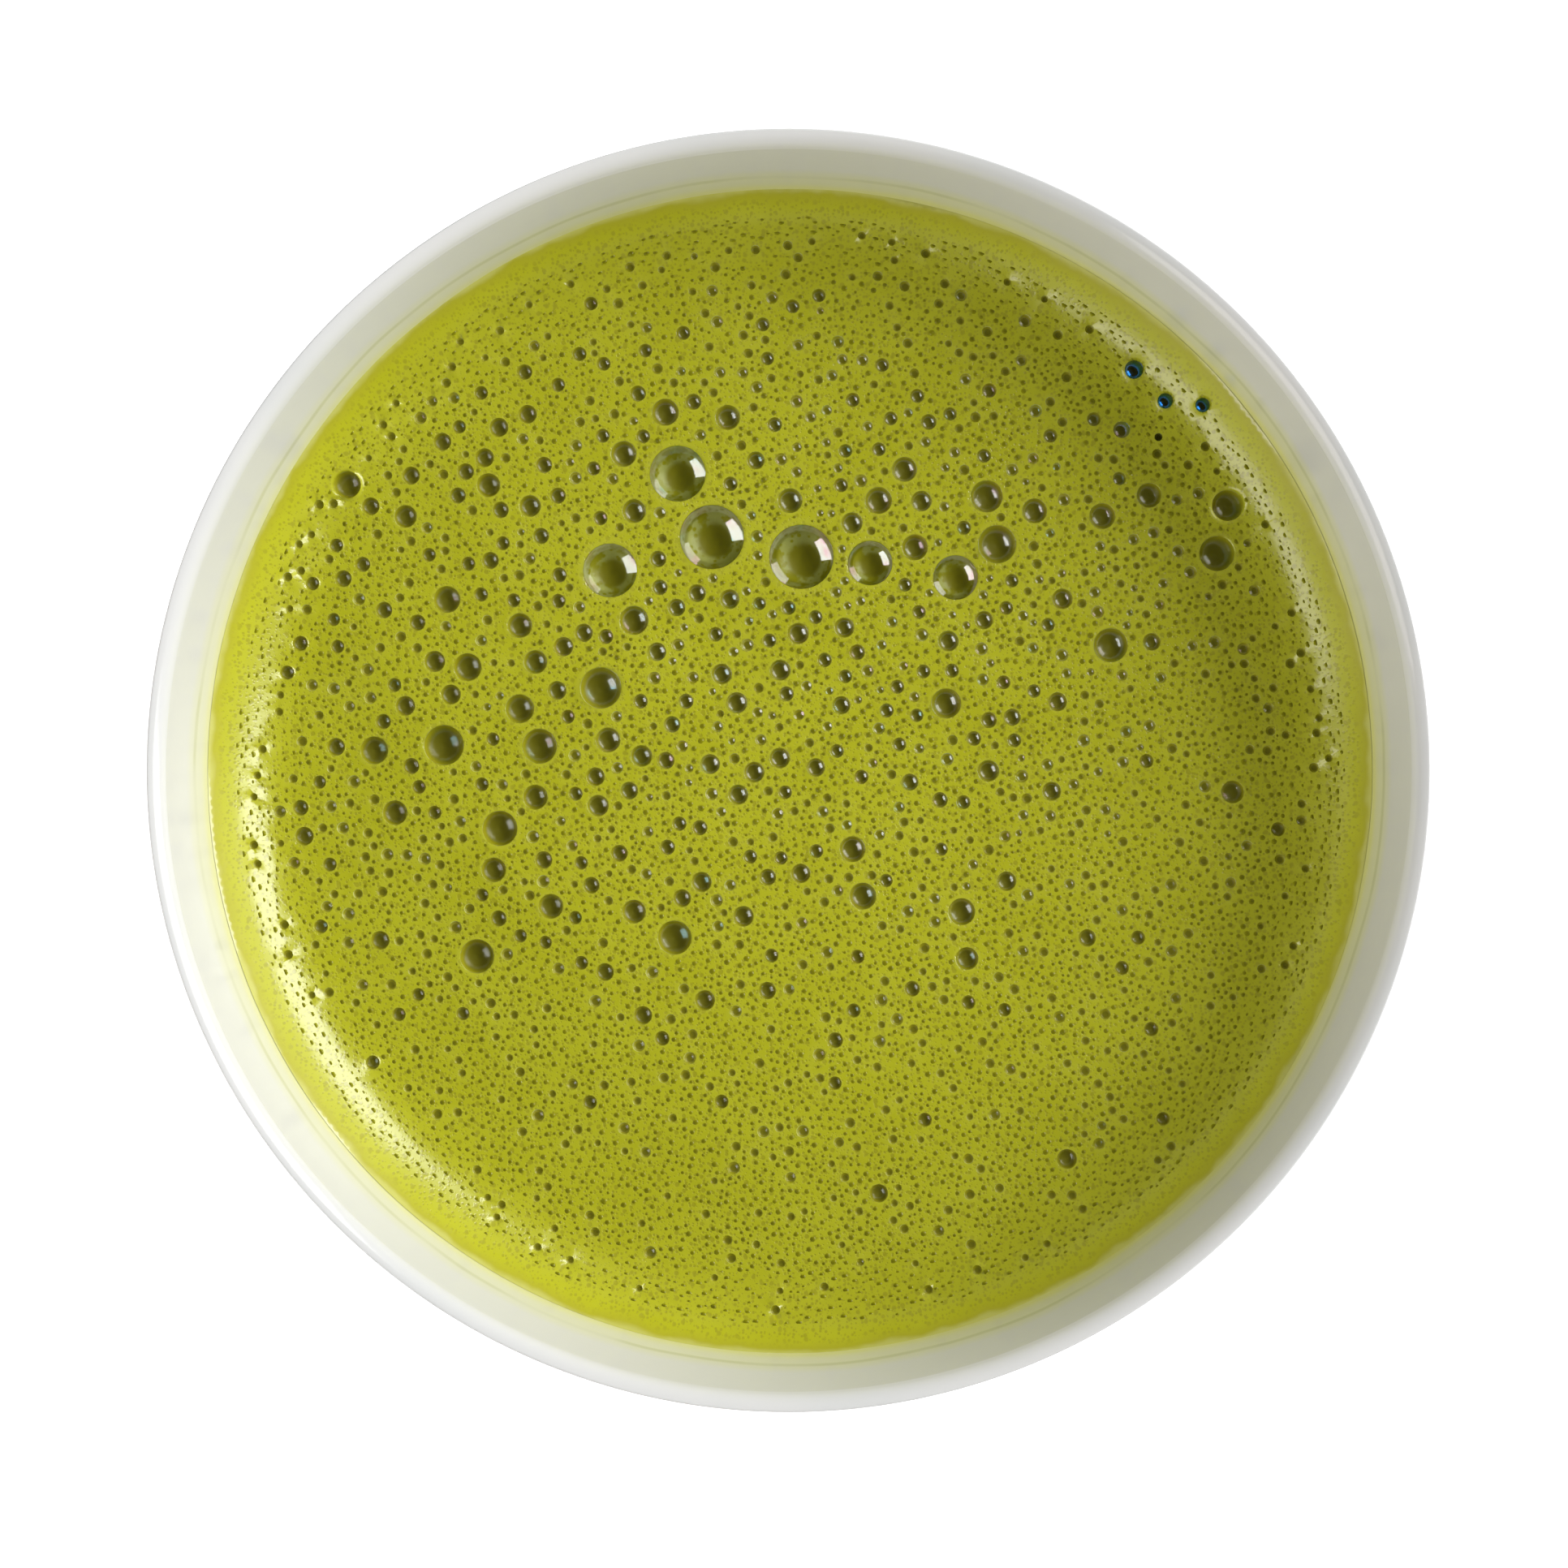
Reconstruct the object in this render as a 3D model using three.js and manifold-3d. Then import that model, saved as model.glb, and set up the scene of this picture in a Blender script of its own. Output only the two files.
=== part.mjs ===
// A bowl of whisked matcha: a thrown porcelain tea bowl, the tea in it, the
// froth that floats on the tea, and the large bubbles that stand in the froth.
//
// Millimetres, +Z up. The origin is the centre of the foot ring, on the
// surface that the bowl stands on. +X runs to the right and +Y away from
// whoever looks straight down into the bowl.

import * as THREE from 'three';
import { mergeVertices } from 'three/addons/utils/BufferGeometryUtils.js';
import Module from 'manifold-3d';

const wasm = await Module();
wasm.setup();

// ---------- driving dimensions ----------

const RIM_RADIUS = 60;          // outside of the lip
const HEIGHT = 70;              // foot to the top of the lip
const LIP_INNER_RADIUS = 58.2;  // where the inner wall turns into the lip
const LIP_TOP_RADIUS = 59.85;   // highest circle of the lip
const LIP_TURN = 1.7;           // height over which the lip turns flat inside
const LIP_EDGE_TURN = 0.4;      // and over which it rounds off outside
const LIP_SLOPE = 14;           // degrees the lip still rises at its top
const LIP_PULL = 0.85;
const RIM_LEAN = 14.6;          // degrees the wall leans out at the rim

const FOOT_RADIUS = 26;         // outside of the foot ring
const FOOT_INNER_RADIUS = 21.5;
const FOOT_CHAMFER = 0.5;
const FOOT_HEIGHT = 7.4;        // where the body springs from the foot
const FOOT_FILLET = 0.8;        // between the foot and the body
const FOOT_RECESS = 5;          // hollow under the bowl
const RECESS_FILLET = 2;

const POOL_RADIUS = 15;         // shallow dip in the middle of the inside
const POOL_DEPTH = 1;
const POOL_SLOPE = 4;           // width of the dip's sloping edge
const FLOOR_HEIGHT = 10.9;      // inside floor at the edge of the dip

// The body's outside and inside are Bezier curves. At each end a curve leaves
// at an angle above level, in degrees, and is pulled that way for a length.
const BODY_SPRING = 22;
const BODY_SPRING_PULL = 24;
const SHOULDER_PULL = 31;
const FLOOR_RISE = 8;
const FLOOR_PULL = 29;
const WALL_PULL = 27;

const CONTACT_HEIGHT = 58.2;    // where the froth ends on the wall
const FROTH_LEVEL = 52.6;       // flat middle of the froth
const CLIMB_WIDTH = 3.6;        // the froth slopes up over this width at the wall
const CLIMB_TURN = 1.5;         // and turns into the level over about this
const FROTH_BOTTOM = 47.5;
const GAP = 0.3;                // clearance between neighbouring solids

const FILM_RISE = 0.38;         // height of a bubble's dome over its radius
const FILM_THICKNESS = 0.25;
const POCKET_DEPTH = 0.8;       // depth of a bubble's pocket over its radius

// Large bubbles: place in the froth and diameter, left to right.
const BUBBLES = [
  { x: -33.3, y: 2.5, diameter: 3.9 },
  { x: -30.1, y: -17.8, diameter: 3.3 },
  { x: -27.9, y: -5.5, diameter: 3.4 },
  { x: -24.1, y: 2.4, diameter: 3.4 },
  { x: -18.2, y: 8.0, diameter: 4.0 },
  { x: -17.3, y: 19.3, diameter: 5.2 },
  { x: -11.1, y: -16.0, diameter: 3.3 },
  { x: -10.8, y: 28.6, diameter: 5.4 },
  { x: -7.5, y: 22.5, diameter: 6.2 },
  { x: 1.1, y: 20.6, diameter: 6.2 },
  { x: 7.7, y: 20.0, diameter: 4.3 },
  { x: 15.9, y: 18.6, diameter: 4.3 },
  { x: 18.9, y: 26.4, diameter: 3.1 },
  { x: 19.9, y: 21.8, diameter: 3.7 },
  { x: 30.8, y: 12.1, diameter: 3.3 },
  { x: 41.0, y: 20.9, diameter: 3.4 },
];

// Fineness of the faceted solids.
const BOWL_SEGMENTS = 72;
const TEA_SEGMENTS = 48;
const BUBBLE_SEGMENTS = 12;
const POCKET_RINGS = 8;
const FILM_STEPS = 3;
const OUTSIDE_STEPS = 12;
const INSIDE_STEPS = 18;
const LIP_STEPS = 3;
const LIP_INSIDE_STEPS = 5;
const TEA_WALL_HEIGHTS = [13.5, 16.5, 21, 27, 34, 42];
const CLIMB_STEPS = [1.6, 2.8, 3.9, 5.2, 7, 10.5];  // inward from the wall

// ---------- finishes ----------

const whiteGlaze = new THREE.MeshStandardMaterial({ color: 0xf2f2ee, roughness: 0.15, metalness: 0 });
const tea = new THREE.MeshStandardMaterial({ color: 0x55600f, roughness: 0.2, metalness: 0 });
const froth = new THREE.MeshStandardMaterial({ color: 0xaeb02c, roughness: 0.5, metalness: 0 });
const bubbleFilm = new THREE.MeshStandardMaterial({
  color: 0xc8d08c, roughness: 0.05, metalness: 0, transparent: true, opacity: 0.35,
});

// ---------- profiles, as (radius, height) points ----------

const point = (radius, height) => new THREE.Vector2(radius, height);

// A point at a distance from another, along a direction in degrees above outward.
function along(start, degrees, distance) {
  const angle = THREE.MathUtils.degToRad(degrees);
  return point(start.x + distance * Math.cos(angle), start.y + distance * Math.sin(angle));
}

// Outside of the body, from the top of the foot to the lip.
function outerCurve() {
  const foot = point(FOOT_RADIUS, FOOT_HEIGHT);
  const lip = point(RIM_RADIUS, HEIGHT - LIP_EDGE_TURN);
  const belly = along(foot, BODY_SPRING, BODY_SPRING_PULL);
  const shoulder = along(lip, 270 - RIM_LEAN, SHOULDER_PULL);
  return new THREE.CubicBezierCurve(foot, belly, shoulder, lip);
}

// Inside of the body, from the edge of the dip to the lip.
function innerCurve() {
  const floor = point(POOL_RADIUS, FLOOR_HEIGHT);
  const lip = point(LIP_INNER_RADIUS, HEIGHT - LIP_TURN);
  const hollow = along(floor, FLOOR_RISE, FLOOR_PULL);
  const wall = along(lip, 270 - RIM_LEAN, WALL_PULL);
  return new THREE.CubicBezierCurve(floor, hollow, wall, lip);
}

// The lip's inside: the wall turns over into a broad edge that leans inwards.
function lipCurve() {
  const wall = point(LIP_INNER_RADIUS, HEIGHT - LIP_TURN);
  const top = point(LIP_TOP_RADIUS, HEIGHT);
  const rising = along(wall, 90 - RIM_LEAN, LIP_PULL);
  return new THREE.CubicBezierCurve(wall, rising, along(top, 180 + LIP_SLOPE, LIP_PULL), top);
}

// A quarter of an ellipse from one point to another, level at its second end.
function quarterRound(start, end, steps) {
  const points = [];
  for (let i = 1; i <= steps; i += 1) {
    const angle = (i / steps) * Math.PI / 2;
    const radius = end.x + (start.x - end.x) * Math.cos(angle);
    const height = start.y + (end.y - start.y) * Math.sin(angle);
    points.push(point(radius, height));
  }
  return points;
}

// The dip in the middle of the inside, from the axis to its sloping edge.
function poolPoints() {
  const low = FLOOR_HEIGHT - POOL_DEPTH;
  const halfway = point(POOL_RADIUS - POOL_SLOPE / 2, low + POOL_DEPTH / 2);
  return [point(0, low), point(POOL_RADIUS - POOL_SLOPE, low), halfway];
}

function bowlProfile() {
  const underside = [
    point(0, FOOT_RECESS),
    point(FOOT_INNER_RADIUS - RECESS_FILLET, FOOT_RECESS),
    point(FOOT_INNER_RADIUS, FOOT_RECESS - RECESS_FILLET),
    point(FOOT_INNER_RADIUS, FOOT_CHAMFER),
    point(FOOT_INNER_RADIUS + FOOT_CHAMFER, 0),
    point(FOOT_RADIUS - FOOT_CHAMFER, 0),
    point(FOOT_RADIUS, FOOT_CHAMFER),
    point(FOOT_RADIUS, FOOT_HEIGHT - FOOT_FILLET),
    along(point(FOOT_RADIUS, FOOT_HEIGHT), BODY_SPRING, FOOT_FILLET),
  ];
  const outside = outerCurve().getPoints(OUTSIDE_STEPS).slice(1);
  const lipOutside = quarterRound(outside.at(-1), point(LIP_TOP_RADIUS, HEIGHT), LIP_STEPS);
  const inside = innerCurve().getPoints(INSIDE_STEPS).reverse();
  const lipInside = lipCurve().getPoints(LIP_INSIDE_STEPS).slice(1, -1).reverse();
  return [...underside, ...outside, ...lipOutside, ...lipInside, ...inside, ...poolPoints().reverse()];
}

// The bowl's inside radius at a height, less the clearance, found by halving.
function radiusInside(height) {
  const curve = innerCurve();
  let low = 0;
  let high = 1;
  while (high - low > 1e-9) {
    const middle = (low + high) / 2;
    if (curve.getPoint(middle).y < height) low = middle;
    else high = middle;
  }
  return curve.getPoint(low).x - GAP;
}

function teaProfile() {
  const top = FROTH_BOTTOM - GAP;
  const floor = poolPoints().map((p) => point(p.x, p.y + GAP));
  const edge = point(POOL_RADIUS, FLOOR_HEIGHT + GAP);
  const wall = TEA_WALL_HEIGHTS.map((height) => point(radiusInside(height), height));
  return [...floor, edge, ...wall, point(radiusInside(top), top), point(0, top)];
}

function climbed(fromWall) {
  return CLIMB_TURN * Math.log1p(Math.exp((CLIMB_WIDTH - fromWall) / CLIMB_TURN));
}

// Height of the froth at a radius: level in the middle, sloping up to the wall.
function frothHeight(radius) {
  const share = climbed(radiusInside(CONTACT_HEIGHT) - radius) / climbed(0);
  return FROTH_LEVEL + (CONTACT_HEIGHT - FROTH_LEVEL) * share;
}

function frothProfile() {
  const middle = (FROTH_BOTTOM + CONTACT_HEIGHT) / 2;
  const wall = [FROTH_BOTTOM, middle, CONTACT_HEIGHT].map((height) => point(radiusInside(height), height));
  const edge = wall.at(-1).x;
  const surface = CLIMB_STEPS.map((inward) => point(edge - inward, frothHeight(edge - inward)));
  return [point(0, FROTH_BOTTOM), ...wall, ...surface, point(0, FROTH_LEVEL)];
}

// Section of a bubble's film: a thin spherical cap on a circle of this radius.
function filmProfile(radius) {
  const rise = radius * FILM_RISE;
  const sphere = (radius * radius + rise * rise) / (2 * rise);
  const centre = rise - sphere;
  const reach = Math.asin(radius / sphere);
  const arc = (arcRadius, i) => point(
    arcRadius * Math.sin((reach * i) / FILM_STEPS),
    centre + arcRadius * Math.cos((reach * i) / FILM_STEPS),
  );
  const inner = [];
  const outer = [];
  for (let i = 0; i <= FILM_STEPS; i += 1) {
    inner.push(arc(sphere - FILM_THICKNESS, i));
    outer.push(arc(sphere, i));
  }
  return [...inner, ...outer.reverse()];
}

// ---------- solids ----------

// A profile turned about Z.
function turned(profile, segments) {
  return new THREE.LatheGeometry(profile, segments).rotateX(Math.PI / 2);
}

// The geometry with shared vertices merged and its empty triangles dropped.
function welded(geometry) {
  const bare = geometry.clone();
  bare.deleteAttribute('normal');
  bare.deleteAttribute('uv');
  const merged = mergeVertices(bare);
  const index = merged.index.array;
  const kept = [];
  for (let i = 0; i < index.length; i += 3) {
    const [a, b, c] = index.slice(i, i + 3);
    if (a !== b && b !== c && c !== a) kept.push(a, b, c);
  }
  merged.setIndex(kept);
  return merged;
}

function toSolid(geometry) {
  const merged = welded(geometry);
  return new wasm.Manifold(new wasm.Mesh({
    numProp: 3,
    vertProperties: new Float32Array(merged.attributes.position.array),
    triVerts: new Uint32Array(merged.index.array),
  }));
}

function toGeometry(solid) {
  const mesh = solid.getMesh();
  const geometry = new THREE.BufferGeometry();
  geometry.setAttribute('position', new THREE.BufferAttribute(mesh.vertProperties, 3));
  geometry.setIndex(new THREE.BufferAttribute(mesh.triVerts, 1));
  geometry.computeVertexNormals();
  return geometry;
}

// The hollow that a bubble leaves in the froth.
function pocket(bubble) {
  const radius = bubble.diameter / 2;
  const level = frothHeight(Math.hypot(bubble.x, bubble.y));
  return new THREE.SphereGeometry(radius, BUBBLE_SEGMENTS, POCKET_RINGS)
    .rotateX(Math.PI / 2)
    .scale(1, 1, POCKET_DEPTH)
    .translate(bubble.x, bubble.y, level);
}

function frothGeometry() {
  let solid = toSolid(turned(frothProfile(), BOWL_SEGMENTS));
  for (const bubble of BUBBLES) solid = solid.subtract(toSolid(pocket(bubble)));
  return toGeometry(solid);
}

// ---------- the object ----------

function named(name, geometry, material) {
  const mesh = new THREE.Mesh(geometry, material);
  mesh.name = name;
  return mesh;
}

function bubbleMesh(bubble, number) {
  const radius = bubble.diameter / 2 - GAP;
  const name = `bubble_film_${String(number + 1).padStart(2, '0')}`;
  const mesh = named(name, turned(filmProfile(radius), BUBBLE_SEGMENTS), bubbleFilm);
  mesh.position.set(bubble.x, bubble.y, frothHeight(Math.hypot(bubble.x, bubble.y)));
  return mesh;
}

const matchaBowl = new THREE.Group();
matchaBowl.add(named('bowl', turned(bowlProfile(), BOWL_SEGMENTS), whiteGlaze));
matchaBowl.add(named('tea', turned(teaProfile(), TEA_SEGMENTS), tea));
matchaBowl.add(named('froth', frothGeometry(), froth));
matchaBowl.add(...BUBBLES.map(bubbleMesh));

export default matchaBowl;
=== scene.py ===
"""A bowl of whisked matcha: a white porcelain bowl, the froth on the tea and the bubbles in it.

Shapes are worked out in millimetres and handed to Blender in metres.
"""
import math
import random

import bpy
import numpy as np
from mathutils import Matrix, Vector, noise
from mathutils.geometry import delaunay_2d_cdt


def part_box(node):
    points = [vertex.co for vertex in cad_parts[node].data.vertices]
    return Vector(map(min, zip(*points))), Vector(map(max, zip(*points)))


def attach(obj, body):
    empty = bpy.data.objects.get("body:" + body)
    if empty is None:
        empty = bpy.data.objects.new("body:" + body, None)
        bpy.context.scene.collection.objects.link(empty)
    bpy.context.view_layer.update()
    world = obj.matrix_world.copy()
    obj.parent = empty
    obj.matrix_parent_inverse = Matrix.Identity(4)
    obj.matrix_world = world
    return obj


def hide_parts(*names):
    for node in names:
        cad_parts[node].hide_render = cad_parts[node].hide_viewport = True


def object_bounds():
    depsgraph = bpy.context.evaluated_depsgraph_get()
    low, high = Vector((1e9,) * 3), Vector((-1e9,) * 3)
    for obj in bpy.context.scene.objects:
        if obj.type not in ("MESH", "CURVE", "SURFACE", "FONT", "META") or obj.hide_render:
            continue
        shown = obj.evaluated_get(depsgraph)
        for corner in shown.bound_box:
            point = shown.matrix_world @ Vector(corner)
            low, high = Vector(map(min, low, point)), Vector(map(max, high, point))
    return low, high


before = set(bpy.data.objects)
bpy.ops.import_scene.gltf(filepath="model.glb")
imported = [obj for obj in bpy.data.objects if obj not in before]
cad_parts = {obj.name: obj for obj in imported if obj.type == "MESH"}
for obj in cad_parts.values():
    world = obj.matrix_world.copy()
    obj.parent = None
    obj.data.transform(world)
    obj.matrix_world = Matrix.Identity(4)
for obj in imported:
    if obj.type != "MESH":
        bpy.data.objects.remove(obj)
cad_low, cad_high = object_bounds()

MM = 0.001
TAU = math.tau


def low_mm(node):
    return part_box(node)[0] / MM


def high_mm(node):
    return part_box(node)[1] / MM


# ---------- sizes in mm and degrees, from the frame where it has them ----------

RIM_RADIUS = cad_high.x / MM
HEIGHT = cad_high.z / MM
CONTACT_HEIGHT = high_mm("froth").z    # where the froth ends on the wall
FROTH_BOTTOM = low_mm("froth").z
CAD_GAP = 0.3                          # the model's clearance between its solids

LIP_INNER_RADIUS = 58.2                # where the inner wall turns into the lip
LIP_TOP_RADIUS = 59.85                 # highest circle of the lip
LIP_TURN = 1.7                         # height over which the lip turns flat inside
LIP_EDGE_TURN = 0.4                    # and over which it rounds off outside
LIP_SLOPE = 14                         # how steeply the lip still rises at its top
LIP_PULL = 0.85
RIM_LEAN = 14.6                        # how far the wall leans out at the rim

FOOT_RADIUS = 26.0                     # outside of the foot ring
FOOT_INNER_RADIUS = 21.5
FOOT_HEIGHT = 7.4                      # where the body springs from the foot
FOOT_FILLET = 1.6                      # between the foot and the body
FOOT_RECESS = 5.0                      # hollow under the bowl
RECESS_FILLET = 2.0
BARE_HEIGHT = 1.3                      # the glaze on the foot ends this far up
GLAZE_BEAD = 0.12                      # width over which its edge rounds off
RING_INSET = 0.1                       # the bare clay stands back from the glaze by this
RING_START = 0.7                       # height on its inner side where its outline starts
RING_FILLET = 0.45

POOL_RADIUS = 15.0                     # shallow dip in the middle of the inside
POOL_DEPTH = 1.0
POOL_SLOPE = 4                         # width of the dip's sloping edge
POOL_FILLET = 2.5
FLOOR_HEIGHT = 10.9                    # inside floor at the edge of the dip

# The wall's curves: how each one sets off, and how far each end pulls on its middle.
BODY_SPRING = 22
BODY_SPRING_PULL = 24
SHOULDER_PULL = 31
FLOOR_RISE = 8
FLOOR_PULL = 29
WALL_PULL = 27

FROTH_LEVEL = 52.6                     # flat middle of the froth
CLIMB_WIDTH = 3.6                      # the froth slopes up over this width at the wall
CLIMB_TURN = 1.5                       # and turns into the level over about this
FROTH_SIDE_HEIGHTS = (55.0, 51.0)      # circles of points on the froth's side
TIDE_HEIGHT = CONTACT_HEIGHT + 3.0     # the line that the froth left when it stood highest

BOWL_SEGMENTS = 256
RIM_POINTS = 400                       # round the froth's edge


# ---------- profiles, as (radius, height) in mm ----------

CORNER_STEPS = 6


def along(start, degrees, distance):
    angle = math.radians(degrees)
    return (start[0] + distance * math.cos(angle), start[1] + distance * math.sin(angle))


def bezier(a, b, c, d, steps):
    points = []
    for i in range(steps + 1):
        t = i / steps
        weights = ((1 - t) ** 3, 3 * t * (1 - t) ** 2, 3 * t * t * (1 - t), t ** 3)
        points.append(tuple(sum(w * p[k] for w, p in zip(weights, (a, b, c, d))) for k in (0, 1)))
    return points


def outer_curve(steps):
    foot = (FOOT_RADIUS, FOOT_HEIGHT)
    lip = (RIM_RADIUS, HEIGHT - LIP_EDGE_TURN)
    return bezier(foot, along(foot, BODY_SPRING, BODY_SPRING_PULL),
                  along(lip, 270 - RIM_LEAN, SHOULDER_PULL), lip, steps)


def inner_curve(steps):
    floor = (POOL_RADIUS, FLOOR_HEIGHT)
    lip = (LIP_INNER_RADIUS, HEIGHT - LIP_TURN)
    return bezier(floor, along(floor, FLOOR_RISE, FLOOR_PULL),
                  along(lip, 270 - RIM_LEAN, WALL_PULL), lip, steps)


def lip_curve(steps):
    """The wall turning over into a broad edge that leans inwards."""
    wall = (LIP_INNER_RADIUS, HEIGHT - LIP_TURN)
    top = (LIP_TOP_RADIUS, HEIGHT)
    return bezier(wall, along(wall, 90 - RIM_LEAN, LIP_PULL),
                  along(top, 180 + LIP_SLOPE, LIP_PULL), top, steps)


def ellipse_turn(start, end, steps):
    """A quarter of an ellipse, level where it ends."""
    points = []
    for i in range(1, steps + 1):
        angle = i / steps * math.pi / 2
        points.append((end[0] + (start[0] - end[0]) * math.cos(angle),
                       start[1] + (end[1] - start[1]) * math.sin(angle)))
    return points


def rounded(points, radius, steps=CORNER_STEPS):
    """A line of points with the corners between its two ends rounded off."""
    result = [points[0]]
    for before, corner, after in zip(points, points[1:], points[2:]):
        ends = []
        for other in (before, after):
            length = math.dist(corner, other)
            share = min(radius, length * 0.45) / length
            ends.append([corner[k] + (other[k] - corner[k]) * share for k in (0, 1)])
        for i in range(steps + 1):
            t = i / steps
            result.append(tuple((1 - t) ** 2 * ends[0][k] + 2 * t * (1 - t) * corner[k] + t * t * ends[1][k]
                                for k in (0, 1)))
    result.append(points[-1])
    return result


INNER = np.array(inner_curve(400))


def wall_radius(height):
    """The bowl's inside radius at a height."""
    return np.interp(height, INNER[:, 1], INNER[:, 0])


FROTH_RADIUS = float(wall_radius(CONTACT_HEIGHT))


def climbed(from_edge):
    """A slope up to the wall that eases out into the level."""
    return CLIMB_TURN * np.log1p(np.exp((CLIMB_WIDTH - from_edge) / CLIMB_TURN))


def froth_height(radius):
    """Level in the middle, sloping up to the wall at the edge."""
    share = climbed(FROTH_RADIUS - np.asarray(radius)) / climbed(0.0)
    return FROTH_LEVEL + (CONTACT_HEIGHT - FROTH_LEVEL) * share


# ---------- meshes ----------

def make_mesh(name, points, faces, attributes=None, sharp_ids=None):
    """A smooth-shaded piece from points in mm. Edges that join two points of one sharp id stay crisp."""
    mesh = bpy.data.meshes.new(name)
    mesh.from_pydata((np.asarray(points, dtype=float) * MM).tolist(), [], faces)
    mesh.shade_smooth()
    for key, values in (attributes or {}).items():
        layer = mesh.attributes.new(key, "FLOAT", "POINT")
        layer.data.foreach_set("value", np.asarray(values, dtype=np.float32))
    if sharp_ids is not None:
        ids = np.asarray(sharp_ids)
        ends = np.empty(len(mesh.edges) * 2, dtype=np.int32)
        mesh.edges.foreach_get("vertices", ends)
        first, second = ids[ends[0::2]], ids[ends[1::2]]
        layer = mesh.attributes.new("sharp_edge", "BOOLEAN", "EDGE")
        layer.data.foreach_set("value", (first == second) & (first >= 0))
    mesh.validate()
    piece = bpy.data.objects.new(name, mesh)
    bpy.context.scene.collection.objects.link(piece)
    return piece


def band(first, second):
    """Faces between two rings with as many points."""
    count = len(first)
    return [(first[i], first[(i + 1) % count], second[(i + 1) % count], second[i])
            for i in range(count)]


def fan(ring, tip):
    """Faces between a ring and a single point."""
    return [(point, ring[(i + 1) % len(ring)], tip) for i, point in enumerate(ring)]


def flipped(faces):
    return [face[::-1] for face in faces]


def turned(name, profile, segments, wobble=None, inside=None):
    """A profile turned about Z. It closes on itself, or starts and ends on the axis.

    Its points from number inside on are marked, for the glaze to tell the bowl's inner side.
    """
    points, rings, faces, marks = [], [], [], []
    for number, (radius, height) in enumerate(profile):
        marks += [1.0 if inside and number >= inside else 0.0] * (1 if radius < 1e-6 else segments)
        if radius < 1e-6:
            rings.append([len(points)])
            points.append((0, 0, height))
            continue
        rings.append(list(range(len(points), len(points) + segments)))
        for i in range(segments):
            angle = i / segments * TAU
            r = radius + (wobble(angle, radius, height) if wobble else 0)
            points.append((r * math.cos(angle), r * math.sin(angle), height))
    closed = len(rings[0]) > 1
    pairs = list(zip(rings, rings[1:])) + ([(rings[-1], rings[0])] if closed else [])
    for low, high in pairs:
        if len(low) == 1:
            faces += flipped(fan(high, low[0]))
        elif len(high) == 1:
            faces += fan(low, high[0])
        else:
            faces += band(low, high)
    return make_mesh(name, points, faces, {"inside": marks} if inside else None)


# ---------- materials ----------

class Nodes:
    """Shorthand for building a material's nodes."""

    def __init__(self, name):
        self.material = bpy.data.materials.new(name)
        self.material.use_nodes = True
        self.tree = self.material.node_tree
        self.tree.nodes.clear()
        self.output = self.add("ShaderNodeOutputMaterial")

    def add(self, kind, **inputs):
        """A node with sockets set by name; a socket given as another node's output is linked."""
        node = self.tree.nodes.new(kind)
        for key, value in inputs.items():
            self.set(node, key.replace("_", " "), value)
        return node

    def set(self, node, socket, value):
        target = node.inputs[int(socket) if socket.isdigit() else socket]
        if isinstance(value, bpy.types.NodeSocket):
            self.tree.links.new(value, target)
        else:
            target.default_value = value

    def place(self):
        """Position in the shared frame, in metres."""
        return self.add("ShaderNodeTexCoord").outputs["Object"]

    def noise(self, scale, detail=3.0, roughness=0.5, vector=None):
        node = self.add("ShaderNodeTexNoise", Scale=scale, Detail=detail, Roughness=roughness)
        self.set(node, "Vector", vector or self.place())
        return node.outputs["Fac"]

    def cells(self, scale, vector=None):
        """Cells about random points: on the flat if a vector is given, else in space."""
        node = self.add("ShaderNodeTexVoronoi", Scale=scale)
        node.voronoi_dimensions = "2D" if vector else "3D"
        self.set(node, "Vector", vector or self.place())
        return node

    def attribute(self, name):
        node = self.add("ShaderNodeAttribute")
        node.attribute_name = name
        return node.outputs["Fac"]

    def distance_from(self, point):
        """How far from a point in mm, in metres."""
        node = self.add("ShaderNodeVectorMath")
        node.operation = "DISTANCE"
        self.set(node, "0", self.place())
        self.set(node, "1", [c * MM for c in point])
        return node.outputs["Value"]

    def math(self, operation, first, second=0.0, clamp=False):
        node = self.add("ShaderNodeMath")
        node.operation = operation
        node.use_clamp = clamp
        self.set(node, "0", first)
        self.set(node, "1", second)
        return node.outputs[0]

    def span(self, value, low, high, to_low=0.0, to_high=1.0):
        """A value's place between two limits, smoothed, as a number between two others."""
        node = self.add("ShaderNodeMapRange")
        node.interpolation_type = "SMOOTHSTEP"
        for key, number in zip(("Value", "From Min", "From Max", "To Min", "To Max"),
                               (value, low, high, to_low, to_high)):
            self.set(node, key, number)
        return node.outputs["Result"]

    def blend(self, factor, first, second):
        """Two colours mixed."""
        node = self.add("ShaderNodeMix")
        node.data_type = "RGBA"
        self.set(node, "0", factor)
        for socket, colour in (("6", first), ("7", second)):
            self.set(node, socket, colour if isinstance(colour, bpy.types.NodeSocket) else (*colour, 1))
        return node.outputs[2]

    def bump(self, height, distance, strength=1.0, normal=None):
        node = self.add("ShaderNodeBump", Height=height, Distance=distance * MM, Strength=strength)
        if normal:
            self.set(node, "Normal", normal)
        return node.outputs["Normal"]

    def finish(self, shader):
        self.tree.links.new(shader, self.output.inputs["Surface"])
        return self.material


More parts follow.
